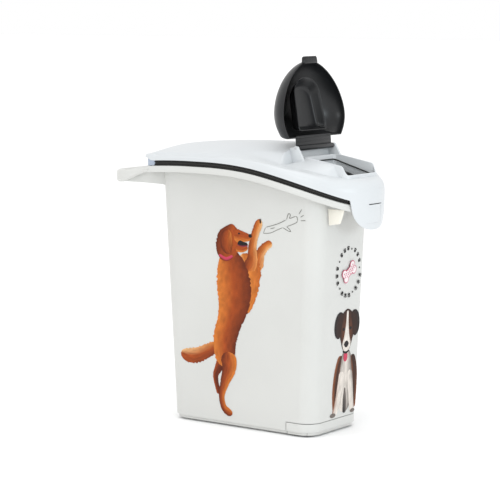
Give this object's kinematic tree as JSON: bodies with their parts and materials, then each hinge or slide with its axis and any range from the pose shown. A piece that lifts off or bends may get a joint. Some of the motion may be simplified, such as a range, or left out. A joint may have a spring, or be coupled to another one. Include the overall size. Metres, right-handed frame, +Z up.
{
  "type": "pet food bin",
  "caption": "Tall dry pet food bin with a rear carrying handle, sealed hinged lid, domed pouring-spout flap that stores a scoop, and rollers under the front edge.",
  "frame": {"origin": "on the floor, under the middle of the base, on the underside of the moulded foot pad", "axes": "+X towards the spout and the front, +Y to the bin's left, +Z up"},
  "size_m": [0.4978, 0.232, 0.6493],
  "materials": {
    "tub_plastic": "white, fine satin, with a printed panel on the near side and the front",
    "lid_plastic": "cool white, satin",
    "flap_plastic": "black, satin",
    "roller_plastic": "black, matte",
    "seal_rubber": "dark grey, matte",
    "steel": "plain drawn rod"
  },
  "bodies": {
    "bin": {"bin_body": "tub_plastic", "wheel_carrier": "tub_plastic", "roller_axle": "steel", "lid_hinge_pin_left": "steel", "lid_hinge_pin_right": "steel"},
    "left_roller": {"roller_left": "roller_plastic"},
    "right_roller": {"roller_right": "roller_plastic"},
    "lid": {"lid_shell": "lid_plastic", "rim_gasket": "seal_rubber", "spout_gasket": "seal_rubber", "flap_hinge_pin": "steel"},
    "latch": {"front_latch": "lid_plastic"},
    "flap": {"spout_flap": "flap_plastic"},
    "scoop": {"measuring_scoop": "flap_plastic"}
  },
  "joints": [
    {"name": "lid_hinge", "type": "hinge", "parent": "bin", "child": "lid", "pos_m": [-0.1805, 0, 0.468], "axis": [0, -1, 0], "range_deg": [0, 100]},
    {"name": "flap_hinge", "type": "hinge", "parent": "lid", "child": "flap", "pos_m": [0.1075, 0, 0.494], "axis": [0, 1, 0], "range_deg": [0, 114]},
    {"name": "latch_flex", "type": "hinge", "parent": "lid", "child": "latch", "pos_m": [0.2307, 0, 0.37], "axis": [0, 1, 0], "range_deg": [0, 8], "stiffness_Nm_per_rad": 0.05},
    {"name": "scoop_slide", "type": "slide", "parent": "flap", "child": "scoop", "axis": [-0.9962, 0, -0.0872], "range_m": [-0.06, 0]},
    {"name": "roller_left_spin", "type": "hinge", "parent": "bin", "child": "left_roller", "pos_m": [0.123, 0.044, 0.01], "axis": [0, 1, 0], "continuous": true},
    {"name": "roller_right_spin", "type": "hinge", "parent": "bin", "child": "right_roller", "pos_m": [0.123, -0.044, 0.01], "axis": [0, 1, 0], "continuous": true}
  ]
}
